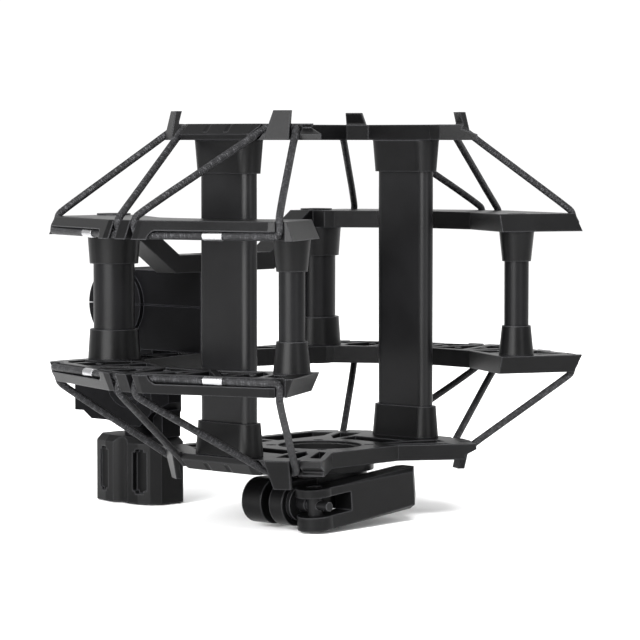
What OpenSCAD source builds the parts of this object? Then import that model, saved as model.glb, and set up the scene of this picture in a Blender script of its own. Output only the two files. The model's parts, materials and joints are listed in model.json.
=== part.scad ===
// Elastic microphone suspension: an inner cradle hangs on eight elastic loops
// inside an open frame, which tilts on a stand adapter behind it.
// Modules are drawn about the microphone's axis and the frame's middle plane;
// in_place() puts the origin at the mouth of the stand thread. Open side: -Y.

/* [Frame] */
// Half the width of the frame
frame_half_w = 78.5; // [78:0.5:79]
// Thickness of each frame plate
plate_t = 5.1; // [4.9:0.1:5.3]
// How far the outer edge of a plate leans in over its thickness
edge_lean = 2.2; // [2:0.1:2.4]
// Radius of the two back posts
back_post_r = 5.85; // [5.4:0.05:6]
// Radius of the two front posts
front_post_r = 3.55; // [3.3:0.05:3.8]

/* [Cradle] */
// Height of the hooks above the ring's outer face
hook_h = 3.6; // [3.2:0.2:4]
// Diameter of the hole in the bottom plate and the clamp
grip_d = 20; // [19.6:0.2:20.4]

/* [Stand adapter] */
// Distance from the microphone's axis back to the stand's axis
stand_back = 74.4; // [74:0.2:75]
// Radius of the stand thread's hole
thread_r = 4.2; // [4:0.05:4.3]
// Radius of the tilt knob
knob_r = 10.5; // [9:0.5:11]

/* [Elastic] */
// Radius of the elastic cord
cord_r = 1.05; // [0.95:0.05:1.05]

/* [Hidden] */
$fn = 48;
eps = 0.02;
slip = 0.05;
mouth_z = 64.6;
plate_black = [0.10, 0.10, 0.11];
metal_black = [0.07, 0.07, 0.08];
satin_grey = [0.16, 0.16, 0.17];
crimp_silver = [0.78, 0.78, 0.80];
rubber_black = [0.05, 0.05, 0.05];

// Frame plan: x to the side, y to the back
plate_z = 17.9;
plate_top = plate_z + plate_t;
side_flat = 6.7;
corner_b = [65.9, 42.2];
corner_c = [61.1, 47];
corner_mid = (corner_b + corner_c) / 2;
rear_y = 48;
wing_end_x = 37.5;
skin = 1.6;
back_post = [42.2, 40.7];
front_post = [47.3, -33.6];
notch_y = 3.2;
notch_w = 2.5;
notch_d = 4;
rebate_d = 3;
rebate_h = 2.4;
cord_in = 1.5;
side_in = 2.7;
window_start = 0.12;
cord_z = plate_z + 1.15;
collar_h = 8.6;
screw_r = 1.5;

// Rear housing and pivot
house_w = 10.5;
house_front = 37.7;
pivot = [72.7, -4.5];
drum_r = 11.1;
drum_w = 12;
tongue_w = 6.4;
washer_gap = 0.8;
thread_depth = 9;
boss_w = 7;
pivot_r = 2.5;

// Cradle plan
ring_in = 44.2;
ring_out = 48.7;
cradle_lift = 0.7;
ring_flat = [42.9, 12.9];
ring_end = [32.8, 30.9];
ring_lean = 2.5;
ring_band = 1.6;
tab_t = 2.5;
tab_a = -5.6;
tab_b = 1.6;
tab_proud = 1.2;
cord_well = 46.4;
tab_notch = 2.6;
side_post_x = 37;
side_post_y = 7;
side_post_r = 2.7;
bush_h = 9.2;
hub_r = 16;

// Clamp below the bottom plate
collar_top = -48;
collar_bottom = -59.5;
collar_r = 13.4;
slit_y = -1.9;
slit_w = 3.2;
ear_r = 6.4;
ear_front = slit_y - slit_w / 2 - 5;
ear_back = slit_y + slit_w / 2 + 7.4;
nut_depth = 4.4;
bolt_x = -18.5;
bolt_z = -57.3;
pin_y = -15.2;
pin_r = 2.1;
lever_low = -63.9;
lever_high = -52.2;
lever_tip = 19.2;
lever_tilt = 5;
washer_t = 1.4;
peg_at = 14;
peg_r = 0.9;

function unit(v) = v / norm(v);
function outward(p, q) = let (d = unit(q - p)) [d[1], -d[0]];
// Corner q of the path p-q-r, moved out by d on both its edges
function mitre(p, q, r, d) = let (a = outward(p, q), b = outward(q, r)) q + d * (a + b) / (1 + a * b);

module in_place() {
    translate([0, -stand_back, mouth_z]) children();
}

module both() {
    children();
    mirror([1, 0, 0]) children();
}

module front_and_back() {
    children();
    mirror([0, 1, 0]) children();
}

module up_and_down() {
    children();
    mirror([0, 0, 1]) children();
}

// Takes off what lies outside the edge p-q, leaning in by lean over height above z
module lean_cut(p, q, z, lean, height) {
    along = unit(q - p);
    translate([p[0], p[1], z])
        rotate([0, 0, atan2(along[1], along[0])])
            rotate([-atan2(lean, height), 0, 0])
                translate([-60, -30, -2])
                    cube([160, 30, 20]);
}

// ---------- Frame ----------

wing_inner = [[wing_end_x, 33], [40, 31.3], [52, 12], [53, 4], [52, -12], [38.5, -35.5]];
wing_outer = [
    [corner_c[0], -corner_c[1]], [corner_b[0], -corner_b[1]], [frame_half_w, -side_flat],
    [frame_half_w, side_flat], corner_b, corner_c, [56, rear_y], [wing_end_x, rear_y]];
wing_leans = concat([[38.5, -35.5]], wing_outer);

// The line of a side from its flat's notch to its corner's notch
side_line = [[frame_half_w, notch_y], [frame_half_w, side_flat], corner_b, corner_mid];

// Webbing pockets in the inner face of a wing
pockets = [
    [[55.2, -6.4], [72.6, -0.9], [72.6, 0.9], [55.2, 6.4]],
    [[55, 8.4], [72.6, 2.8], [73, 6], [70.6, 12.6]],
    [[54.8, 10.2], [70, 14.4], [66.6, 23.8]],
    [[53.4, 11.6], [65.6, 25.4], [47, 22.4]],
    [[46.2, 24], [65, 27.2], [62, 35.6], [50.6, 35.4], [44.4, 31.4]],
    [[51.6, 37.2], [61.4, 37.4], [60.6, 40], [57.4, 43.4], [50.6, 43.6]],
    [[55, -8.4], [72.6, -2.8], [73, -6], [70.6, -12.6]],
    [[54.8, -10.2], [70, -14.4], [66.6, -23.8]],
    [[53.4, -11.6], [65.6, -25.4], [48.6, -22.4]],
    [[48, -24], [65, -27.2], [62, -35.6], [53.6, -31.4]],
    [[54, -33.4], [61.4, -37.2], [60.4, -40.4], [53, -37.4]]];

// Reinforcing pegs that stand in the pockets
pegs = [[61, 0], [64, 7.6], [64, -7.6], [58, 19], [58, -19], [57, 31], [57, -28.4]];

module notch(at, angle) {
    translate([at[0], at[1], plate_z - 1])
        rotate([0, 0, angle])
            translate([-notch_d, -notch_w / 2, 0])
                cube([notch_d + 4, notch_w, plate_t + 2]);
}

// Channel along the inner edge of a side for the elastic, open outwards past the window's start
module rebate() {
    s = side_line;
    a = outward(s[0], s[1]);
    c = outward(s[2], s[3]);
    depth = side_in - cord_in + rebate_d;
    skin_in = side_in - cord_r - 0.3;
    side = s[2] - s[1];
    along = unit(side);
    side_n = outward(s[1], s[2]);
    start = s[1] + window_start * side;
    in_line = [s[0] - depth * a, mitre(s[0], s[1], s[2], -depth),
        mitre(s[1], s[2], s[3], -rebate_d), s[3] - rebate_d * c];
    out_line = [s[3] + 3 * c, mitre(s[1], s[2], s[3], 3), start + 3 * side_n, start - skin_in * side_n,
        mitre(s[0], s[1], s[2], -skin_in), s[0] - skin_in * a];
    translate([0, 0, plate_z - 1])
        linear_extrude(rebate_h + 1)
            polygon(concat(in_line, out_line));
    // Round end of the window
    translate([start[0], start[1], plate_z])
        rotate([0, 0, atan2(side_n[1], side_n[0])])
            translate([-skin_in, 0.6, 0])
                rotate([0, 90, 0])
                    cylinder(h = 6, r = rebate_h);
}

module frame_screw_hole(at) {
    translate([at[0], at[1], plate_z - 1]) cylinder(h = 10, r = screw_r + slip);
    translate([at[0], at[1], plate_top - 1.6]) cylinder(h = 3, r = 2.9);
}

module wing() {
    difference() {
        union() {
            translate([0, 0, plate_z])
                linear_extrude(plate_t)
                    polygon(concat(wing_outer, wing_inner));
            translate([back_post[0], back_post[1], plate_top - 1]) cylinder(h = 1.5, r = 4.8);
        }
        for (i = [0:len(wing_leans) - 2])
            lean_cut(wing_leans[i], wing_leans[i + 1], plate_z, edge_lean, plate_t);
        front_and_back() {
            notch([frame_half_w, notch_y], 0);
            notch(corner_mid, 45);
            rebate();
        }
        difference() {
            translate([0, 0, plate_z - 1])
                linear_extrude(plate_t - skin + 1)
                    for (cell = pockets) polygon(cell);
            for (p = pegs)
                translate([p[0], p[1], plate_z]) cylinder(h = plate_t, r = 1);
        }
        frame_screw_hole(back_post);
        frame_screw_hole(front_post);
    }
}

bridge_low = 5.8;
bridge_high = 11;
bridge_back = rear_y - edge_lean;

module upper_frame_plate() {
    color(plate_black) in_place() {
        difference() {
            union() {
                both() wing();
                translate([0, bridge_back, 0])
                    rotate([90, 0, 0])
                        linear_extrude(bridge_back - house_front)
                            both()
                                polygon([[-eps, bridge_low], [20.5, bridge_low], [34.4, 15.5], [34.4, plate_z],
                                    [wing_end_x + 1, plate_z], [wing_end_x + 1, plate_top],
                                    [36.1, plate_top], [18.9, bridge_high], [-eps, bridge_high]]);
            }
            both() frame_screw_hole(back_post);
            both() translate([6.5, 42, 0]) cylinder(h = 20, r = screw_r + slip);
            both() translate([6.5, 42, bridge_high - 1.8]) cylinder(h = 4, r = 2.9);
        }
    }
}

module lower_frame_plate() {
    color(plate_black) in_place() mirror([0, 0, 1])
        difference() {
            union() {
                both() wing();
                difference() {
                    translate([0, 0, plate_z])
                        linear_extrude(plate_t)
                            polygon([[-38, 48], [-38, 32.6], [-7.6, 39.6], [7.6, 39.6], [38, 32.6], [38, 48]]);
                    lean_cut([38, rear_y], [-38, rear_y], plate_z, edge_lean, plate_t);
                    both()
                        translate([0, 0, plate_z - 1])
                            linear_extrude(plate_t - skin + 1)
                                polygon([[12.5, 40.4], [24, 37.6], [24, 44.8], [12.5, 44.8]]);
                    both()
                        translate([0, 0, plate_z - 1])
                            linear_extrude(plate_t - skin + 1)
                                polygon([[25.6, 37.4], [33.4, 35.6], [33.4, 44.8], [25.6, 44.8]]);
                }
            }
            both() frame_screw_hole(back_post);
            both() translate([6.5, 43, plate_z - 1]) cylinder(h = 10, r = screw_r + slip);
            both() translate([6.5, 43, plate_top - 1.6]) cylinder(h = 4, r = 2.9);
        }
}

module post_at(at, r) {
    both()
        difference() {
            translate([at[0], at[1], -plate_z]) cylinder(h = 2 * plate_z, r = r);
            up_and_down()
                translate([at[0], at[1], plate_z - 9]) cylinder(h = 10, r = screw_r + slip);
        }
}

module back_posts() {
    color(metal_black) in_place() post_at(back_post, back_post_r);
}

module front_posts() {
    color(metal_black) in_place() post_at(front_post, front_post_r);
}

// Tapered collars that hold a post's ends against the plates
module collars_at(at, r, grow) {
    both() up_and_down()
        translate([at[0], at[1], plate_z - collar_h])
            difference() {
                cylinder(h = collar_h, r1 = r * 1.18, r2 = r * 1.18 + grow);
                translate([0, 0, -1]) cylinder(h = collar_h + 2, r = r + slip);
            }
}

module back_collars() {
    color(plate_black) in_place() collars_at(back_post, back_post_r, 0.6);
}

module front_collars() {
    color(plate_black) in_place() collars_at(front_post, front_post_r, 0.9);
}

// Pan-head screw with a cross recess; its head's seat is at the origin, pointing up
module pan_screw(length, r, head_r, head_h) {
    difference() {
        union() {
            translate([0, 0, -length]) cylinder(h = length + eps, r = r);
            cylinder(h = head_h, r = head_r);
        }
        for (a = [0, 90])
            rotate([0, 0, a])
                translate([-head_r * 0.6, -0.3, head_h * 0.4]) cube([head_r * 1.2, 0.6, head_h]);
    }
}

module frame_screws() {
    color(metal_black) in_place() both() up_and_down()
        for (at = [back_post, front_post])
            translate([at[0], at[1], plate_top - 1.6]) pan_screw(11, screw_r, 2.7, 1.4);
}

// ---------- Rear housing ----------

module side_extrude(half_w) {
    rotate([90, 0, 90])
        translate([0, 0, -half_w])
            linear_extrude(2 * half_w) children();
}

module housing_solid() {
    difference() {
        union() {
            side_extrude(house_w)
                polygon([[house_front, -plate_z], [64.5, -plate_z], [67.5, -14.3], [pivot[0], pivot[1]],
                    [pivot[0], 6.4], [66, bridge_low], [house_front, bridge_low]]);
            side_extrude(drum_w) translate(pivot) circle(r = drum_r, $fn = 72);
        }
        // Slot for the arm's tongue, open below so that the arm can swing
        side_extrude(tongue_w + washer_gap) {
            translate(pivot) circle(r = drum_r + 0.4, $fn = 72);
            polygon([[pivot[0], pivot[1] + 12], [pivot[0] - 9.8, pivot[1] + 5.6], [52, -18.5],
                [52, -40], [100, -40], [100, pivot[1] + 12]]);
        }
        side_extrude(20) translate(pivot) circle(r = pivot_r + slip);
        both() translate([6.5, 42, -8]) cylinder(h = 20, r = screw_r + slip);
        both() translate([6.5, 43, -30]) cylinder(h = 20, r = screw_r + slip);
    }
}

module housing_half(up) {
    intersection() {
        housing_solid();
        translate([-20, 30, up ? pivot[1] + 0.1 : -60]) cube([40, 70, up ? 60 : 60 + pivot[1] - 0.1]);
    }
}

module rear_housing_upper() {
    color(plate_black) in_place() housing_half(true);
}

module rear_housing_lower() {
    color(plate_black) in_place() housing_half(false);
}

module housing_screws() {
    color(metal_black) in_place() both() {
        translate([6.5, 42, bridge_high - 1.8]) pan_screw(14, screw_r, 2.7, 1.6);
        translate([6.5, 43, -plate_top + 1.6]) mirror([0, 0, 1]) pan_screw(11, screw_r, 2.7, 1.4);
    }
}

// ---------- Stand arm and socket ----------

module stand_arm() {
    color(plate_black) in_place()
        difference() {
            union() {
                // Tongue between the drum's cheeks and the neck below it
                side_extrude(tongue_w) {
                    translate(pivot) circle(r = drum_r - 0.5, $fn = 72);
                    polygon([[62.2, -28], [62.2, pivot[1]], [83.2, pivot[1]], [83.2, -28]]);
                }
                // Swivel body
                intersection() {
                    side_extrude(tongue_w)
                        polygon([[64, -22], [59.3, -27.5], [59.3, -34.3], [68, -41.6], [76.4, -41.6],
                            [82, -40.4], [89, -40.4], [92.6, -38.1], [96.9, -38.2], [99.2, -36.5],
                            [99.2, -31.6], [95, -27], [87, -22]]);
                    translate([0, 0, -60])
                        linear_extrude(60)
                            polygon([[-2.6, 59.3], [2.6, 59.3], [tongue_w, 63], [tongue_w, 96.4], [3.6, 99.3],
                                [-3.6, 99.3], [-tongue_w, 96.4], [-tongue_w, 63]]);
                }
                // Thin column in front and the foot on the socket's screw
                translate([-3.8, 60.8, -mouth_z + 19.9]) cube([7.6, 4, 8]);
                translate([0, stand_back, -mouth_z + 19.9]) cylinder(h = 5, r = 4.6);
                // Round boss on each side
                side_extrude(boss_w) translate([73.2, -27.3]) circle(r = 8.8, $fn = 72);
            }
            both()
                translate([boss_w, 73.2, -27.3])
                    rotate([0, 90, 0])
                        translate([0, 0, -0.4])
                            difference() {
                                cylinder(h = 2, r = 6.6);
                                translate([0, 0, -1]) cylinder(h = 4, r = 6);
                            }
            side_extrude(20) translate(pivot) circle(r = pivot_r + slip);
            translate([0, stand_back, -60]) cylinder(h = 28, r = 2 + slip);
        }
}

socket_h = 19.9;
socket_plan = [[-4.5, 60.4], [4.5, 60.4], [7, 62.9], [8.6, 66.5], [9.4, 73.5], [8.6, 80.5],
    [7, 86], [4.5, 88.5], [-4.5, 88.5], [-7, 86], [-8.6, 80.5], [-9.4, 73.5], [-8.6, 66.5], [-7, 62.9]];

module stand_socket() {
    color(plate_black) in_place()
        translate([0, 0, -mouth_z])
            difference() {
                linear_extrude(socket_h) polygon(socket_plan);
                for (i = [0:len(socket_plan) - 1])
                    lean_cut(socket_plan[i], socket_plan[(i + 1) % len(socket_plan)], socket_h - 1.9, 1.6, 1.9);
                // Flutes and finger pockets down each side
                both() {
                    translate([12.9, 73.6, -1]) cylinder(h = socket_h + 2, r = 5);
                    for (y = [63.9, 79.3]) {
                        translate([6.9, y + 1, 3]) cube([4, 2.6, 13.4]);
                        translate([6.9, y, 3.9]) cube([4, 4.6, 11.6]);
                    }
                }
                translate([0, stand_back, -1]) cylinder(h = 15, r = 5.6 + slip);
                translate([0, stand_back, 10]) cylinder(h = 20, r = 2 + slip);
            }
}

module thread_insert() {
    color([0.72, 0.60, 0.35]) in_place()
        translate([0, stand_back, -mouth_z])
            difference() {
                cylinder(h = 14, r = 5.6);
                translate([0, 0, -1]) cylinder(h = thread_depth + 1, r = thread_r);
                translate([0, 0, thread_depth - 1]) cylinder(h = 3.5, r = 3.6 + slip);
                translate([0, 0, 5]) cylinder(h = 20, r = 2 + slip);
                for (z = [4, 9])
                    translate([0, 0, z])
                        difference() {
                            cylinder(h = 1, r = 7);
                            translate([0, 0, -1]) cylinder(h = 3, r = 5.1);
                        }
            }
}

module socket_screw() {
    color(metal_black) in_place()
        translate([0, stand_back, -mouth_z + 11.5])
            mirror([0, 0, 1]) pan_screw(19, 2, 3.6, 2.2);
}

module friction_washers() {
    color(satin_grey) in_place() both()
        translate([tongue_w + eps, pivot[0], pivot[1]])
            rotate([0, 90, 0])
                difference() {
                    cylinder(h = 0.75, r = 9);
                    translate([0, 0, -1]) cylinder(h = 3, r = pivot_r + slip);
                }
}

// Bolt through the drum, its flat head on the left and its thread in the knob
module pivot_bolt() {
    color(metal_black) in_place()
        translate([-drum_w, pivot[0], pivot[1]])
            rotate([0, 90, 0])
                difference() {
                    union() {
                        cylinder(h = 2 * drum_w + 9, r = pivot_r);
                        translate([0, 0, -1]) cylinder(h = 1, r = 5.5);
                    }
                    translate([0, 0, -1.1]) cylinder(h = 2.6, r = 1.6, $fn = 6);
                }
}

module tilt_knob() {
    color(plate_black) in_place()
        translate([drum_w + 0.2, pivot[0], pivot[1]])
            rotate([0, 90, 0])
                difference() {
                    union() {
                        cylinder(h = 2, r = 6);
                        translate([0, 0, 2 - eps]) cylinder(h = 10, r = knob_r);
                        translate([0, 0, 12 - 2 * eps]) cylinder(h = 1, r1 = knob_r, r2 = knob_r - 1);
                    }
                    for (a = [0:45:315])
                        rotate([0, 0, a])
                            translate([knob_r + 1.4, 0, 1]) cylinder(h = 14, r = 2.8);
                    translate([0, 0, -1]) cylinder(h = 10.5, r = pivot_r + slip);
                }
}

// ---------- Cradle ----------

facet_n = outward(ring_flat, ring_end);
facet_u = unit(ring_end - ring_flat);
facet_mid = (ring_flat + ring_end) / 2;
// A point at a depth behind an oblique facet's face, u along it, at height z
function facet_at(depth, u, z) = concat(facet_mid - depth * facet_n + u * facet_u, z);

// Where the elastic passes the hook on its side next to the ring's flat and next to its end
hook_z = 47.7;
side_top = facet_at(1.9, tab_a - 0.4, hook_z - 0.5);
side_foot = [frame_half_w - 4.2, notch_y, plate_top + 1.75];
corner_top = facet_at(1.4, tab_b + 1.3, hook_z - 0.6);
behind = [facet_at(2.45, tab_a + 0.7, hook_z - 0.1), facet_at(2.5, tab_a + 2.2, hook_z),
    facet_at(2.5, tab_b - 1, hook_z), facet_at(2.3, tab_b + 0.5, hook_z - 0.1)];

ring_corners = [ring_end, ring_flat, [ring_flat[0], -ring_flat[1]], [ring_end[0], -ring_end[1]]];

// The upper cradle plate lies above the lifted middle; the lower one mirrors it
module cradle_half(up) {
    translate([0, 0, cradle_lift]) mirror([0, 0, up ? 0 : 1]) translate([0, 0, -cradle_lift]) children();
}

// Places things along an oblique facet of a ring: x outward from its face, y along it
module at_facet() {
    n = outward(ring_flat, ring_end);
    mid = (ring_flat + ring_end) / 2;
    translate([mid[0], mid[1], 0]) rotate([0, 0, atan2(n[1], n[0])]) children();
}

module hooks() {
    tip = ring_out + hook_h - ring_in;
    front_and_back() at_facet()
        intersection() {
            translate([-10, 0, ring_in])
                rotate([90, 0, 90])
                    linear_extrude(20)
                        polygon([[tab_a, 0], [tab_b, 0], [tab_b, tip], [tab_a + 2.4, tip]]);
            // Leaning outer face; the tip leans in over the elastic
            translate([0, 10, ring_in])
                rotate([90, 0, 0])
                    linear_extrude(20)
                        polygon([[tab_proud - tab_t, -1], [tab_proud + 0.6, -1], [tab_proud - 1.9, tip + 1],
                            [tab_proud - 3.9, tip + 1], [tab_proud - tab_t, 5]]);
        }
}

// Wells behind the hooks and the ways out of them, for the elastic
module hook_wells() {
    front_and_back() {
        at_facet() {
            translate([tab_proud - tab_t - 2.5, tab_a - 1.6, cord_well])
                cube([2.5, tab_b + tab_notch - tab_a + 1.6, 10]);
            translate([tab_proud - tab_t - 1.4, tab_b, ring_in - 1]) cube([10, tab_notch, 10]);
            translate([-ring_lean - 1, tab_b + tab_notch, ring_out - 1.2])
                rotate([0, 25, 0]) cube([8, 12, 4]);
        }
        way = side_top - side_foot;
        translate(side_foot)
            rotate([0, atan2(norm([way[0], way[1]]), way[2]), atan2(way[1], way[0])])
                cylinder(h = norm(way) + 0.5, r = cord_r + 0.35);
    }
}

// Half of a ring's plan, from the front to the back, with bevelled outer edges
module ring_half(inner) {
    difference() {
        translate([0, 0, ring_in])
            linear_extrude(ring_out - ring_in)
                polygon(concat([for (i = [3:-1:0]) ring_corners[i]], inner));
        for (i = [3:-1:1])
            lean_cut(ring_corners[i], ring_corners[i - 1], ring_in + ring_band, ring_lean,
                ring_out - ring_in - ring_band);
        // Two finger dimples on the side's bevel, open at its outer edge
        for (side = [-1, 1])
            translate([ring_flat[0] + 0.6, side * 4, ring_out - 0.6])
                rotate([0, -40, 0])
                    translate([0, 0, -0.5])
                        cylinder(h = 8, r = 2.2);
        hook_wells();
        translate([side_post_x, 0, ring_in - 1]) cylinder(h = 8, r = screw_r + slip);
        translate([side_post_x, 0, ring_out - 1.6]) cylinder(h = 3, r = 2.9);
    }
    hooks();
}

module top_ring() {
    color(plate_black) in_place() {
        difference() {
            union() {
                both() ring_half([[0, 30.9], [0, 15.2], [28, 15.2], [32.8, 11], [32.8, -13], [29.5, -19.5]]);
                translate([-0.1, 15.2, ring_in]) cube([0.2, 15.7, ring_out - ring_in]);
            }
            lean_cut([40, 30.9], [-40, 30.9], ring_in + ring_band, ring_lean, ring_out - ring_in - ring_band);
            // Pockets in the underside of the rear web
            both()
                translate([0, 0, ring_in - 1])
                    linear_extrude(ring_out - ring_in - skin + 1)
                        polygon([[1, 18], [11.5, 18], [11.5, 27.2], [1, 27.2]]);
            both()
                translate([0, 0, ring_in - 1])
                    linear_extrude(ring_out - ring_in - skin + 1)
                        polygon([[13.1, 18], [28, 18], [28, 24], [24.5, 27.2], [13.1, 27.2]]);
        }
    }
}

module bottom_plate() {
    color(plate_black) in_place() cradle_half(false)
        difference() {
            union() {
                both() ring_half([[0, 30.9], [0, -17.5], [14, -17.5], [29.5, -29]]);
                translate([-0.1, -17.5, ring_in]) cube([0.2, 48.4, ring_out - ring_in]);
            }
            lean_cut([40, 30.9], [-40, 30.9], ring_in + ring_band, ring_lean, ring_out - ring_in - ring_band);
            // Ribbed webbing around the hub
            difference() {
                translate([0, 0, ring_in - 1])
                    linear_extrude(ring_out - ring_in - skin + 1)
                        both() {
                            polygon([[1, 17.5], [20.5, 17.5], [29.5, 22], [26.5, 27.6], [1, 27.6]]);
                            polygon([[17.2, -8], [26, -9.8], [26, 9.8], [17.2, 8]]);
                            polygon([[16, 9.6], [26.6, 11.6], [34, 15], [31, 20.6], [22, 16]]);
                            polygon([[16, -9.6], [26.6, -11.6], [34, -15], [31, -20.6], [22, -16]]);
                            polygon([[14, -12.6], [20.6, -17], [28.6, -22.4], [28, -26], [14.5, -15.8]]);
                        }
                translate([0, 0, ring_in]) cylinder(h = 6, r = hub_r);
            }
            translate([0, 0, ring_in - 1]) cylinder(h = 8, r = grip_d / 2 + 2);
            for (a = [45:90:315])
                rotate([0, 0, a])
                    translate([peg_at, 0, ring_in]) {
                        translate([0, 0, -1]) cylinder(h = 8, r = peg_r + slip);
                        translate([0, 0, -1]) cylinder(h = 1.9, r = 1.45);
                    }
        }
}

// Bar with half-round ends, drawn upright; the radius may grow from r1 to r2
module round_ended(r1, r2, height) {
    for (y = [-side_post_y, side_post_y])
        translate([0, y, 0]) cylinder(h = height, r1 = r1, r2 = r2);
    translate([0, side_post_y, 0])
        rotate([90, 0, 0])
            linear_extrude(2 * side_post_y)
                polygon([[-r1, 0], [r1, 0], [r2, height], [-r2, height]]);
}

module side_posts() {
    color(satin_grey) in_place() both()
        difference() {
            translate([side_post_x, 0, cradle_lift - 43.5]) round_ended(side_post_r, side_post_r, 87);
            for (up = [true, false])
                cradle_half(up)
                    translate([side_post_x, 0, ring_in - 10]) cylinder(h = 12, r = screw_r + slip);
        }
}

// Tapered sleeve around each end of a side post
module side_bushes() {
    color(plate_black) in_place() for (up = [true, false]) cradle_half(up) both()
        translate([side_post_x, 0, ring_in - bush_h])
            difference() {
                round_ended(side_post_r + 1, side_post_r + 1.75, bush_h);
                translate([0, 0, -1]) round_ended(side_post_r + slip, side_post_r + slip, bush_h + 2);
            }
}

module cradle_screws() {
    color(metal_black) in_place() for (up = [true, false]) cradle_half(up) both()
        translate([side_post_x, 0, ring_out - 1.6]) pan_screw(11, screw_r, 2.7, 1.4);
}

// ---------- Microphone clamp ----------

module rod_y(x, y0, y1, z, r) {
    translate([x, y0, z]) rotate([-90, 0, 0]) cylinder(h = y1 - y0, r = r);
}

module clamp_collar() {
    color(plate_black) in_place()
        difference() {
            union() {
                translate([0, 0, collar_bottom]) cylinder(h = collar_top - collar_bottom - 1, r = collar_r);
                // Flange under the bottom plate
                translate([0, 0, collar_top - 1.5]) cylinder(h = 1.5 + 0.7, r = 15.4);
                // Ears on both sides of the slit
                intersection() {
                    translate([bolt_x - ear_r, ear_front, -64]) cube([ear_r + 8.6, ear_back - ear_front, 14.6]);
                    union() {
                        rod_y(bolt_x, -20, 20, bolt_z, ear_r);
                        translate([bolt_x, -20, bolt_z - 2.8]) cube([14, 40, 2.8 + ear_r]);
                    }
                }
            }
            translate([0, 0, -70]) cylinder(h = 40, r = grip_d / 2 + 1.5 + slip);
            // The slit, and the relief that lets the split band close
            translate([-40, slit_y - slit_w / 2, -70]) cube([40 - 8, slit_w, 70 + collar_top - 1.5]);
            rod_y(bolt_x, -20, 20, bolt_z, 2.05);
            rod_y(bolt_x, ear_back - nut_depth, 20, bolt_z, 5.15);
            for (a = [45:90:315])
                rotate([0, 0, a]) translate([peg_at, 0, collar_top - 1.3]) cylinder(h = 4, r = peg_r + slip);
        }
}

module collar_screws() {
    color(metal_black) in_place()
        for (a = [45:90:315])
            rotate([0, 0, a])
                translate([peg_at, 0, 2 * cradle_lift - ring_in - 0.9]) pan_screw(5.4, peg_r, 1.35, 0.75);
}

// Rubber sleeve that grips the microphone's base
module clamp_liner() {
    color(rubber_black) in_place()
        difference() {
            translate([0, 0, collar_bottom]) cylinder(h = ring_out - collar_bottom - 92, r = grip_d / 2 + 1.5);
            translate([0, 0, -80]) cylinder(h = 60, r = grip_d / 2);
            translate([-40, slit_y - 0.6, -70]) cube([32, 1.2, 70 + collar_top - 1.5]);
        }
}

module clamp_bolt() {
    color(satin_grey) in_place() {
        rod_y(bolt_x, pin_y + 2.3, ear_back - 2, bolt_z, 2);
        rod_y(bolt_x, pin_y - 5.5, pin_y + 2.3 + eps, bolt_z, 1.3);
    }
}

module cam_washer() {
    color(metal_black) in_place()
        difference() {
            rod_y(bolt_x, ear_front - washer_t, ear_front, bolt_z, 4.8);
            rod_y(bolt_x, -30, 0, bolt_z, 2.05);
        }
}

// Turns the lever and its barrel about the bolt, which raises the lever's tip
module tilted() {
    translate([bolt_x, 0, bolt_z]) rotate([0, -lever_tilt, 0]) translate([-bolt_x, 0, -bolt_z]) children();
}

// Upright barrel that the lever turns on, with the bolt screwed through it
module cam_barrel() {
    color(satin_grey) in_place() tilted()
        difference() {
            translate([bolt_x, pin_y, lever_low + 0.6])
                cylinder(h = lever_high - lever_low - 1.2, r = pin_r);
            rod_y(bolt_x, pin_y - 5, pin_y + 5, bolt_z, 1.3 + slip);
        }
}

// Lever whose round nose presses on the washer, with a slot for the bolt's eye
module cam_lever() {
    face = ear_front - washer_t - slip;
    color(plate_black) in_place() tilted()
        difference() {
            union() {
                translate([bolt_x, pin_y, lever_low])
                    cylinder(h = lever_high - lever_low, r = face - pin_y);
                translate([0, 0, lever_low])
                    linear_extrude(lever_high - lever_low)
                        polygon([[bolt_x - 1, pin_y - 4.9], [lever_tip - 2.7, -21.3],
                            [lever_tip, -19.4], [lever_tip, -15], [lever_tip - 1.5, -13.8], [-4, -13.8], [-11, -14.2], [bolt_x + 1, pin_y + 3]]);
            }
            translate([bolt_x, pin_y, -80]) cylinder(h = 40, r = pin_r + slip);
            translate([bolt_x - 8, -30, bolt_z - 2.7]) cube([8 + 9.5, 22, 5.4]);
            // Bevels at the lever's tip and along its front edges
            translate([lever_tip, -30, lever_low - 3.6]) rotate([0, -45, 0]) cube([10, 30, 5]);
            translate([lever_tip + 1, -30, lever_high - 1]) rotate([0, -45, 0]) cube([6, 30, 6]);
            for (z = [lever_low, lever_high])
                translate([-18, -21.3, z])
                    rotate([45, 0, 0])
                        translate([-20, -0.8, -0.8]) cube([60, 1.6, 1.6]);
        }
}

// Slotted nut let into the rear ear
module adjusting_nut() {
    color(satin_grey) in_place()
        difference() {
            rod_y(bolt_x, ear_back - nut_depth + slip, ear_back - 0.6, bolt_z, 4.8);
            rod_y(bolt_x, 0, 30, bolt_z, 2.05);
            translate([bolt_x - 6, ear_back - 1.8, bolt_z - 0.8]) cube([12, 5, 1.6]);
        }
}

// ---------- Elastic loops and crimps ----------

// Key points of one strand, from the side's channel up to behind the hook.
// depth is measured in from the frame's outline at the notch, along n.
function strand(at, n, along, depth, top) = let (
    down = at - n * depth)
    concat(
        [concat(down + along * 2.2, cord_z), concat(down + along * 1.2, cord_z + 0.05),
            concat(down + along * 0.4, cord_z + 0.45), concat(at - n * (depth + 0.15), cord_z + 1.3),
            concat(at - n * 2.4, plate_top - 1.2), concat(at - n * 2.8, plate_top + 0.2),
            concat(at - n * 3.5, plate_top + 1.1)],
        [for (t = [0.2, 0.4, 0.6, 0.8])
            let (a = concat(at - n * 4.2, plate_top + 1.75)) a + t * (top - a)],
        [top]);

corner_n = [sqrt(0.5), sqrt(0.5)];

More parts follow.
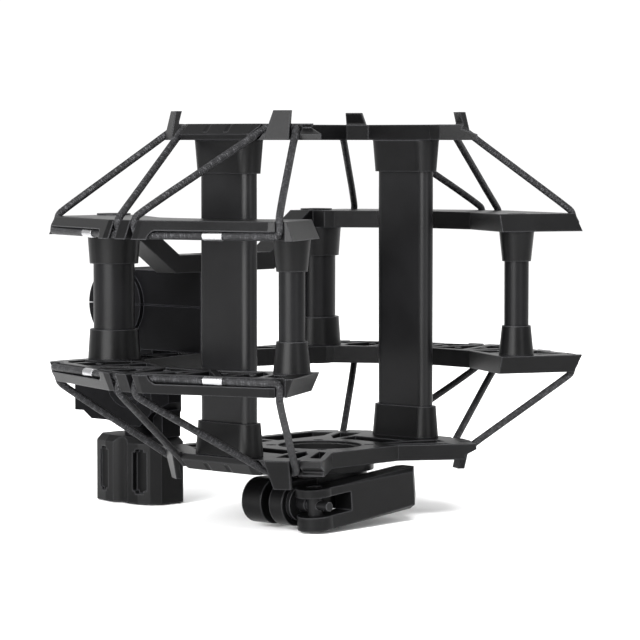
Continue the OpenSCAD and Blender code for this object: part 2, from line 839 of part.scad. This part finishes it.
// The closed line of the upper back right loop
loop_line = let (
    s = side_line,
    a = mitre(s[0], s[1], s[2], -side_in),
    b = mitre(s[1], s[2], s[3], -cord_in),
    turn = unit(a - b),
    side_strand = strand(s[0], [1, 0], [0, 1], side_in, side_top),
    corner_strand = strand(s[3], corner_n, [corner_n[0], -corner_n[1]], cord_in, corner_top))
    concat(
        side_strand,
        behind,
        [for (i = [len(corner_strand) - 1:-1:1]) corner_strand[i]],
        [concat(b + turn * 0.9, cord_z), concat(b + turn * 8, cord_z), concat((a + b) / 2, cord_z),
            concat(a - turn * 8, cord_z), concat(a - turn * 1.2, cord_z)]);

// Reference direction that no part of the line runs along
loop_ref = unit([0.52, 0.25, 0.82]);

function ring_round(before, at, after) = let (
    t = unit(unit(after - at) + unit(at - before)),
    side = unit(cross(t, loop_ref)),
    up = cross(side, t))
    [for (i = [0:7]) at + cord_r * (cos(i * 45) * side + sin(i * 45) * up)];

module closed_tube(line) {
    n = len(line);
    rings = [for (i = [0:n - 1]) each ring_round(line[(i + n - 1) % n], line[i], line[(i + 1) % n])];
    faces = [for (i = [0:n - 1]) for (j = [0:7])
        let (a = i * 8 + j, b = i * 8 + (j + 1) % 8,
            c = ((i + 1) % n) * 8 + (j + 1) % 8, d = ((i + 1) % n) * 8 + j)
        each [[a, b, c], [a, c, d]]];
    polyhedron(points = rings, faces = faces);
}

// Lower loops end a little higher than the upper ones' mirror image, by the cradle's lift
lower_line = [for (p = loop_line) p[2] > plate_top + 1.2
    ? let (t = min(1, (p[2] - plate_top - 1.2) / (hook_z - plate_top - 1.2)))
        [p[0], p[1], p[2] - 2 * cradle_lift * t]
    : p];

module elastic(right, back, up) {
    color(rubber_black) in_place()
        mirror([right ? 0 : 1, 0, 0]) mirror([0, back ? 0 : 1, 0]) mirror([0, 0, up ? 0 : 1])
            closed_tube(up ? loop_line : lower_line);
}

module elastic_upper_front_right() { elastic(true, false, true); }
module elastic_upper_front_left() { elastic(false, false, true); }
module elastic_upper_back_right() { elastic(true, true, true); }
module elastic_upper_back_left() { elastic(false, true, true); }
module elastic_lower_front_right() { elastic(true, false, false); }
module elastic_lower_front_left() { elastic(false, false, false); }
module elastic_lower_back_right() { elastic(true, true, false); }
module elastic_lower_back_left() { elastic(false, true, false); }

// Pinched metal sleeves on the elastic in the side channels
module crimps() {
    a = mitre(side_line[0], side_line[1], side_line[2], -side_in);
    b = mitre(side_line[1], side_line[2], side_line[3], -cord_in);
    way = unit(b - a);
    for (side = [0, 1]) {
        middle = a + way * (side == 0 ? 13 : 21);
        both() mirror([0, side, 0])
            translate([middle[0], middle[1], cord_z])
                rotate([0, 0, atan2(way[1], way[0])])
                    rotate([0, 90, 0])
                        translate([0, 0, -2.85])
                            difference() {
                                cylinder(h = 5.7, r = 1.22);
                                translate([0, 0, -1]) cylinder(h = 8, r = cord_r + 0.01);
                            }
    }
}

module upper_crimps() {
    color(crimp_silver) in_place() crimps();
}

module lower_crimps() {
    color(crimp_silver) in_place() mirror([0, 0, 1]) crimps();
}

upper_frame_plate();
lower_frame_plate();
back_posts();
front_posts();
back_collars();
front_collars();
frame_screws();
rear_housing_upper();
rear_housing_lower();
housing_screws();
stand_arm();
stand_socket();
socket_screw();
thread_insert();
friction_washers();
pivot_bolt();
tilt_knob();
top_ring();
bottom_plate();
side_posts();
side_bushes();
cradle_screws();
clamp_collar();
collar_screws();
clamp_liner();
clamp_bolt();
cam_washer();
cam_lever();
cam_barrel();
adjusting_nut();
upper_crimps();
lower_crimps();
elastic_upper_front_right();
elastic_upper_front_left();
elastic_upper_back_right();
elastic_upper_back_left();
elastic_lower_front_right();
elastic_lower_front_left();
elastic_lower_back_right();
elastic_lower_back_left();
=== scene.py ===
import json
import math

import bpy
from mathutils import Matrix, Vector


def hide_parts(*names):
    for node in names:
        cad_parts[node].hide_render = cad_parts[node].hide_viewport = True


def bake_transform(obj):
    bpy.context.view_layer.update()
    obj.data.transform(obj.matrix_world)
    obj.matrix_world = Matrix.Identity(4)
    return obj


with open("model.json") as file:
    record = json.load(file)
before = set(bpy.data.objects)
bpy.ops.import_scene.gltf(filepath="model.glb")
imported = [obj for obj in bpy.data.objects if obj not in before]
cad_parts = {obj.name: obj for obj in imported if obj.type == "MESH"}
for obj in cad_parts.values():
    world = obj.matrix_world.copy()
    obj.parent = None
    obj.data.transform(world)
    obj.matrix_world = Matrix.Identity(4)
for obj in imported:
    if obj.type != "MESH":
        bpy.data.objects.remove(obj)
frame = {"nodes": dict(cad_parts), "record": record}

MM = 0.001
WEAVE_PITCH, WEAVE_STRANDS = 0.7, 8
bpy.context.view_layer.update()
nodes = frame["nodes"]
slot_of = {s["node"]: s["material_slot"] for s in frame["record"]["subparts"]}
colour_of = {m["slot"]: m["base_color"] for m in frame["record"]["materials"]}


# ---------- Materials ----------

def new_material(name):
    mat = bpy.data.materials.new(name)
    mat.use_nodes = True
    tree = mat.node_tree
    return mat, tree, tree.nodes["Principled BSDF"]


def node(tree, kind, **sockets):
    made = tree.nodes.new(kind)
    for key, value in sockets.items():
        made.inputs[key.replace("_", " ")].default_value = value
    return made


def mix_colour(tree, factor, a, b):
    mix = tree.nodes.new("ShaderNodeMix")
    mix.data_type = "RGBA"
    mix.inputs[6].default_value = (*a, 1)
    mix.inputs[7].default_value = (*b, 1)
    tree.links.new(factor, mix.inputs[0])
    return mix.outputs[2]


def scaled(colour, k):
    return tuple(min(1, c * k) for c in colour[:3])


def ramp(tree, value, low, high, out_low=0.0, out_high=1.0):
    made = tree.nodes.new("ShaderNodeMapRange")
    for i, v in enumerate((low, high, out_low, out_high)):
        made.inputs[i + 1].default_value = v
    tree.links.new(value, made.inputs[0])
    return made.outputs[0]


def rounded_normal(tree, radius, bump_height=None, strength=0.1, distance=0.0001):
    """A normal with softened edges, and a bump over it where one is given."""
    bevel = tree.nodes.new("ShaderNodeBevel")
    bevel.samples = 4
    bevel.inputs["Radius"].default_value = radius
    if bump_height is None:
        return bevel.outputs[0]
    bump = node(tree, "ShaderNodeBump", Strength=strength, Distance=distance)
    tree.links.new(bump_height, bump.inputs["Height"])
    tree.links.new(bevel.outputs[0], bump.inputs["Normal"])
    return bump.outputs[0]


def edge_turn(tree, radius):
    """One on a flat, less where the surface turns over an edge."""
    bevel = tree.nodes.new("ShaderNodeBevel")
    bevel.samples = 4
    bevel.inputs["Radius"].default_value = radius
    flat = tree.nodes.new("ShaderNodeNewGeometry").outputs["Normal"]
    dot = tree.nodes.new("ShaderNodeVectorMath")
    dot.operation = "DOT_PRODUCT"
    tree.links.new(bevel.outputs[0], dot.inputs[0])
    tree.links.new(flat, dot.inputs[1])
    return dot.outputs["Value"]


def moulded(slot_name, rough, grain, edge_highlight_gain=4, edge=0.00035, shine=0.08):
    """Black moulded plastic or coated metal: fine grain, slight smudges and a painted highlight that makes
    the edges paler.
    """
    colour = colour_of[slot_name]
    mat, tree, shader = new_material(slot_name)
    links = tree.links
    coords = tree.nodes.new("ShaderNodeTexCoord").outputs["Object"]
    fine = node(tree, "ShaderNodeTexNoise", Scale=5200.0, Detail=3.0)
    smudge = node(tree, "ShaderNodeTexNoise", Scale=55.0, Detail=4.0, Roughness=0.6)
    for made in (fine, smudge):
        links.new(coords, made.inputs["Vector"])
    patch = ramp(tree, smudge.outputs["Fac"], 0.35, 0.7)
    base = mix_colour(tree, patch, scaled(colour, 0.2), scaled(colour, 0.4))
    # Painted highlight: where the surface turns over an edge, the colour is mixed towards a brighter copy
    # of itself
    painted_edge_highlight = ramp(tree, edge_turn(tree, 1.2 * edge), 0.97, 0.8)
    final = tree.nodes.new("ShaderNodeMix")
    final.data_type = "RGBA"
    final.inputs[7].default_value = (*scaled(colour, edge_highlight_gain), 1)
    links.new(painted_edge_highlight, final.inputs[0])
    links.new(base, final.inputs[6])
    links.new(final.outputs[2], shader.inputs["Base Color"])
    gloss = ramp(tree, smudge.outputs["Fac"], 0.3, 0.7, rough - 0.025, rough + 0.025)
    links.new(gloss, shader.inputs["Roughness"])
    normal = rounded_normal(tree, edge, fine.outputs["Fac"], grain, 0.00006)
    links.new(normal, shader.inputs["Normal"])
    shader.inputs["Specular IOR Level"].default_value = shine
    return mat


def metal(slot_name, rough, streak_axis, shade=1.0):
    """Machined or pinched metal with fine streaks."""
    colour = colour_of[slot_name]
    mat, tree, shader = new_material(slot_name)
    links = tree.links
    coords = tree.nodes.new("ShaderNodeTexCoord").outputs["Object"]
    stretch = tree.nodes.new("ShaderNodeMapping")
    stretch.inputs["Scale"].default_value = tuple(200 if i == streak_axis else 6000 for i in range(3))
    links.new(coords, stretch.inputs["Vector"])
    streaks = node(tree, "ShaderNodeTexNoise", Scale=1.0, Detail=3.0)
    links.new(stretch.outputs[0], streaks.inputs["Vector"])
    blotch = node(tree, "ShaderNodeTexNoise", Scale=300.0, Detail=2.0)
    links.new(coords, blotch.inputs["Vector"])
    base = mix_colour(tree, blotch.outputs["Fac"], scaled(colour, 0.8 * shade), scaled(colour, 1.1 * shade))
    links.new(base, shader.inputs["Base Color"])
    gloss = ramp(tree, streaks.outputs["Fac"], 0.3, 0.7, rough - 0.07, rough + 0.07)
    links.new(gloss, shader.inputs["Roughness"])
    normal = rounded_normal(tree, 0.0003, streaks.outputs["Fac"], 0.12, 0.00004)
    links.new(normal, shader.inputs["Normal"])
    shader.inputs["Metallic"].default_value = 1.0
    return mat


def braided(slot_name):
    """Woven sleeve: two crossing sets of strands, with a painted sheen in patches on the raised strands.
    UVs are in millimetres and turns.
    """
    colour = colour_of[slot_name]
    mat, tree, shader = new_material(slot_name)
    links = tree.links
    uv = tree.nodes.new("ShaderNodeTexCoord").outputs["UV"]
    split = tree.nodes.new("ShaderNodeSeparateXYZ")
    links.new(uv, split.inputs[0])

    def calc(operation, a, b=None):
        made = tree.nodes.new("ShaderNodeMath")
        made.operation = operation
        for i, value in enumerate((a, b)):
            if value is None:
                continue
            if isinstance(value, (int, float)):
                made.inputs[i].default_value = value
            else:
                links.new(value, made.inputs[i])
        return made.outputs[0]

    along = calc("MULTIPLY", split.outputs[0], 2 * math.pi / WEAVE_PITCH)
    round_ = calc("MULTIPLY", split.outputs[1], 2 * math.pi * WEAVE_STRANDS)
    one = calc("SINE", calc("ADD", along, round_))
    two = calc("SINE", calc("SUBTRACT", along, round_))
    weave = calc("MAXIMUM", one, two)
    lift = ramp(tree, weave, -0.6, 1.0)
    painted_sheen_noise = node(tree, "ShaderNodeTexNoise", Scale=3.5, Detail=2.0)
    links.new(uv, painted_sheen_noise.inputs["Vector"])
    # Painted highlight: raised parts of the weave are mixed towards a paler grey in noisy patches, standing
    # in for sheen
    shine = calc("MULTIPLY", lift, ramp(tree, painted_sheen_noise.outputs["Fac"], 0.5, 0.66))
    base = mix_colour(tree, shine, scaled(colour, 0.5), (0.045, 0.045, 0.048))
    links.new(base, shader.inputs["Base Color"])
    bump = node(tree, "ShaderNodeBump", Strength=0.8, Distance=0.00012)
    links.new(lift, bump.inputs["Height"])
    links.new(bump.outputs[0], shader.inputs["Normal"])
    shader.inputs["Roughness"].default_value = 0.5
    shader.inputs["Specular IOR Level"].default_value = 0.12
    return mat


finishes = {
    "frame_plastic": moulded("frame_plastic", 0.34, 0.3, edge=0.0005),
    "cradle_plastic": moulded("cradle_plastic", 0.34, 0.3, edge=0.0006),
    "housing_plastic": moulded("housing_plastic", 0.5, 0.3, shine=0.02),
    "socket_plastic": moulded("socket_plastic", 0.45, 0.4, edge=0.0006),
    "knob_plastic": moulded("knob_plastic", 0.45, 0.4, edge=0.0006),
    "lever_plastic": moulded("lever_plastic", 0.4, 0.3, edge=0.0006),
    "collar_plastic": moulded("collar_plastic", 0.32, 0.25, edge=0.0006),
    "post_metal": moulded("post_metal", 0.33, 0.15, shine=0.08),
    "side_post_metal": moulded("side_post_metal", 0.33, 0.15, shine=0.12),
    "black_steel": moulded("black_steel", 0.35, 0.1),
    "bare_steel": metal("bare_steel", 0.3, 1),
    "insert_brass": metal("insert_brass", 0.32, 2),
    "washer_fibre": moulded("washer_fibre", 0.7, 0.6),
    "liner_rubber": moulded("liner_rubber", 0.75, 0.6),
    "crimp_metal": metal("crimp_metal", 0.3, 1, shade=0.42),
    "elastic_cord": braided("elastic_cord"),
}
for name, obj in nodes.items():
    obj.data.materials.clear()
    obj.data.materials.append(finishes[slot_of[name]])


# ---------- Elastic loops ----------
# Built for the back right corner of the upper half, in millimetres about the
# microphone's axis and the frame's middle plane, then mirrored to the others.

STAND_BACK, MOUTH_Z = 74.4, 64.6
PLATE_TOP, CORD_Z, CORD_IN, SIDE_IN, CORD_R = 23.0, 19.05, 1.5, 2.7, 1.05
CRADLE_LIFT, HOOK_Z = 0.7, 47.7
SIDE_LINE = [Vector((78.5, 3.2)), Vector((78.5, 6.7)), Vector((65.9, 42.2)), Vector((63.5, 44.6))]
RING_FLAT, RING_END = Vector((42.9, 12.9)), Vector((32.8, 30.9))
TAB_A, TAB_B = -5.6, 1.6
LOOP_STEP, LOOP_SIDES = 0.7, 12
LOOP_R = CORD_R * 0.985


def outward(p, q):
    d = (q - p).normalized()
    return Vector((d.y, -d.x))


def mitre(p, q, r, d):
    a, b = outward(p, q), outward(q, r)
    return q + (a + b) * (d / (1 + a.dot(b)))


def at_height(p, z):
    return Vector((p.x, p.y, z))


def strand(at, n, along, depth, top):
    down = at - n * depth
    low = [
        at_height(down + along * 2.2, CORD_Z), at_height(down + along * 1.2, CORD_Z + 0.05),
        at_height(down + along * 0.4, CORD_Z + 0.45), at_height(at - n * (depth + 0.15), CORD_Z + 1.3),
        at_height(at - n * 2.4, PLATE_TOP - 1.2), at_height(at - n * 2.8, PLATE_TOP + 0.2),
        at_height(at - n * 3.5, PLATE_TOP + 1.1),
    ]
    foot = at_height(at - n * 4.2, PLATE_TOP + 1.75)
    return low + [foot.lerp(top, t) for t in (0.2, 0.4, 0.6, 0.8, 1.0)]


def facet_at(depth, u, z):
    n, along = outward(RING_FLAT, RING_END), (RING_END - RING_FLAT).normalized()
    return at_height((RING_FLAT + RING_END) / 2 - n * depth + along * u, z)


def loop_line():
    s = SIDE_LINE
    a, b = mitre(s[0], s[1], s[2], -SIDE_IN), mitre(s[1], s[2], s[3], -CORD_IN)
    turn = (a - b).normalized()
    corner_n = Vector((1, 1)).normalized()
    side_top = facet_at(1.9, TAB_A - 0.4, HOOK_Z - 0.5)
    corner_top = facet_at(1.4, TAB_B + 1.3, HOOK_Z - 0.6)
    side = strand(s[0], Vector((1, 0)), Vector((0, 1)), SIDE_IN, side_top)
    corner = strand(s[3], corner_n, Vector((corner_n.x, -corner_n.y)), CORD_IN, corner_top)
    behind = [
        facet_at(2.45, TAB_A + 0.7, HOOK_Z - 0.1), facet_at(2.5, TAB_A + 2.2, HOOK_Z),
        facet_at(2.5, TAB_B - 1, HOOK_Z), facet_at(2.3, TAB_B + 0.5, HOOK_Z - 0.1),
    ]
    channel = [b + turn * 0.9, b + turn * 8, (a + b) / 2, a - turn * 8, a - turn * 1.2]
    return side + behind + corner[:0:-1] + [at_height(p, CORD_Z) for p in channel]


def smooth_closed(points, step):
    """The closed line through the points, eased at its bends and cut about every step."""
    n = len(points)
    out = []
    for i in range(n):
        p0, p1, p2, p3 = (points[(i + k - 1) % n] for k in range(4))
        chord = (p2 - p1).length
        m1 = (p2 - p0).normalized() * chord
        m2 = (p3 - p1).normalized() * chord
        cuts = max(1, round(chord / step))
        for j in range(cuts):
            t = j / cuts
            out.append(
                p1 * (2 * t**3 - 3 * t**2 + 1) + m1 * (t**3 - 2 * t**2 + t)
                + p2 * (-2 * t**3 + 3 * t**2) + m2 * (t**3 - t**2)
            )
    return out


def braided_loop(name, right, back, up):
    sx, sy, sz = (1 if right else -1), (1 if back else -1), (1 if up else -1)
    line = smooth_closed(loop_line(), LOOP_STEP)
    lowest = PLATE_TOP + 1.2
    moved = []
    for p in line:
        z = p.z
        if not up and z > lowest:
            z -= 2 * CRADLE_LIFT * min(1, (z - lowest) / (HOOK_Z - lowest))
        moved.append(Vector((sx * p.x, sy * p.y - STAND_BACK, sz * z + MOUTH_Z)) * MM)
    # A direction that no part of the line runs along keeps the rings from twisting
    ref = Vector((sx * 0.52, sy * 0.25, sz * 0.82)).normalized()
    sides, count = LOOP_SIDES, len(moved)
    verts, lengths, run = [], [], 0.0
    for i, p in enumerate(moved):
        before, after = moved[i - 1], moved[(i + 1) % count]
        t = (after - before).normalized()
        side = t.cross(ref).normalized()
        top = side.cross(t)
        for j in range(sides):
            angle = 2 * math.pi * j / sides
            verts.append(p + (side * math.cos(angle) + top * math.sin(angle)) * LOOP_R * MM)
        lengths.append(run)
        run += (after - p).length
    lengths.append(run)
    # Millimetres a metre, eased so that a whole number of weaves goes round the loop
    stretch = round(run / (WEAVE_PITCH * MM)) * WEAVE_PITCH / run
    faces, uvs = [], []
    for i in range(count):
        k = (i + 1) % count
        for j in range(sides):
            m = (j + 1) % sides
            faces.append((i * sides + j, i * sides + m, k * sides + m, k * sides + j))
            u0, u1 = lengths[i] * stretch, lengths[i + 1] * stretch
            v0, v1 = j / sides, (j + 1) / sides
            uvs += [(u0, v0), (u0, v1), (u1, v1), (u1, v0)]
    mesh = bpy.data.meshes.new(name)
    mesh.from_pydata(verts, [], faces)
    layer = mesh.uv_layers.new(name="sleeve")
    for i, uv in enumerate(uvs):
        layer.data[i].uv = uv
    for face in mesh.polygons:
        face.use_smooth = True
    mesh.validate()
    obj = bpy.data.objects.new(name, mesh)
    bpy.context.scene.collection.objects.link(obj)
    obj.data.materials.append(finishes["elastic_cord"])
    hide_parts(name.replace("_braided", ""))
    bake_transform(obj)


for level in ("upper", "lower"):
    for depth in ("front", "back"):
        for hand in ("right", "left"):
            name = f"elastic_{level}_{depth}_{hand}_braided"
            braided_loop(name, hand == "right", depth == "back", level == "upper")


# ---------- Studio ----------

def studio():
    world = bpy.data.worlds.new("studio")
    bpy.context.scene.world = world
    world.use_nodes = True
    background = world.node_tree.nodes["Background"]
    background.inputs["Color"].default_value = (1, 1, 1, 1)
    background.inputs["Strength"].default_value = 1.08

    floor_mesh = bpy.data.meshes.new("floor")
    rim, count, level = 6.0, 64, -0.0004
    angles = [2 * math.pi * i / count for i in range(count)]
    corners = [(rim * math.cos(a), rim * math.sin(a), level) for a in angles]
    floor_mesh.from_pydata(corners, [], [tuple(range(count))])
    floor = bpy.data.objects.new("floor", floor_mesh)
    bpy.context.scene.collection.objects.link(floor)
    mat, tree, shader = new_material("pale_floor")
    cloud = node(tree, "ShaderNodeTexNoise", Scale=3.0, Detail=2.0)
    base = mix_colour(tree, cloud.outputs["Fac"], (0.93, 0.93, 0.93), (0.95, 0.95, 0.95))
    tree.links.new(base, shader.inputs["Base Color"])
    shader.inputs["Roughness"].default_value = 0.85
    shader.inputs["Specular IOR Level"].default_value = 0.1
    floor_mesh.materials.append(mat)

    middle = Vector((0, -0.074, 0.06))
    for name, place, power, size in (
        ("front_strip", (-0.12, -1.07, 0.38), 6, (0.3, 1.2)),
        ("left_softbox", (-1.07, -0.24, 0.16), 54, (0.8, 1.1)),
        ("high_softbox", (-0.68, -0.71, 0.86), 24, (0.5, 0.3)),
        ("right_fill", (1.1, -0.2, 0.6), 2, (0.6, 0.8)),
        ("top", (-0.1, -0.1, 1.3), 3, (0.9, 0.9)),
    ):
        light = bpy.data.lights.new(name, "AREA")
        light.shape = "RECTANGLE"
        light.energy = power
        light.size, light.size_y = size
        lamp = bpy.data.objects.new(name, light)
        lamp.location = place
        lamp.rotation_euler = (middle - Vector(place)).to_track_quat("-Z", "Y").to_euler()
        bpy.context.scene.collection.objects.link(lamp)


def camera():
    data = bpy.data.cameras.new("camera")
    data.lens = 168.75
    data.sensor_width = 36
    data.clip_start = 0.05
    data.clip_end = 50
    obj = bpy.data.objects.new("camera", data)
    eye = Vector((-627, -581 - STAND_BACK, 44.2 + MOUTH_Z)) * MM
    aim = Vector((0.5, 0.5 - STAND_BACK, -7.1 + MOUTH_Z)) * MM
    obj.location = eye
    obj.rotation_euler = (aim - eye).to_track_quat("-Z", "Y").to_euler()
    bpy.context.scene.collection.objects.link(obj)
    bpy.context.scene.camera = obj


studio()
camera()
bpy.context.scene.view_settings.view_transform = "Standard"
